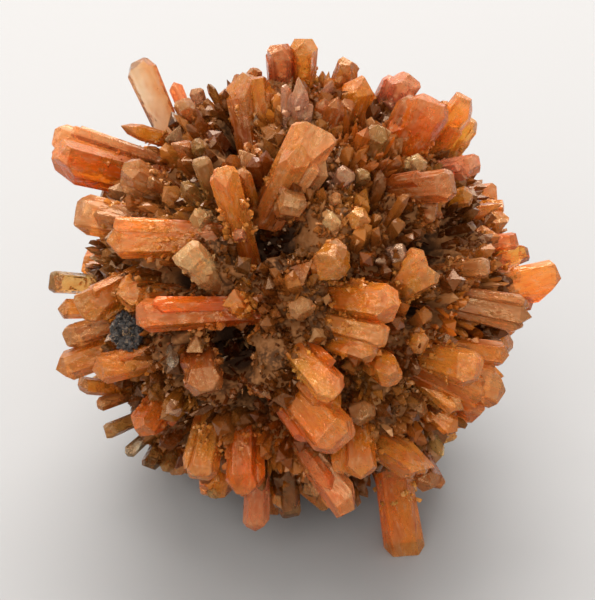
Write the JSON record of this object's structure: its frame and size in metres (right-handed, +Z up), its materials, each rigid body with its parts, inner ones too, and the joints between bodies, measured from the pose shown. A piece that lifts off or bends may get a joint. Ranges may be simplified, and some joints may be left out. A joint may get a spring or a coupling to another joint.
{
  "type": "creedite cluster",
  "caption": "Loose, nearly round ball of orange, partly clear creedite crystals: prisms and blades radiate from one body over fine druse and dark pits, and it stands on its own tips.",
  "frame": {"origin": "on the floor, under the middle of the ball's bounding box", "axes": "+Z up, -Y towards the side that the picture shows, +X to that side's right, along the ball's greatest width"},
  "size_m": [0.0708, 0.0693, 0.0641],
  "materials": {
    "creedite": "glassy, see-through at the tips"
  },
  "bodies": {
    "root": {"creedite_cluster": "creedite"}
  },
  "joints": []
}
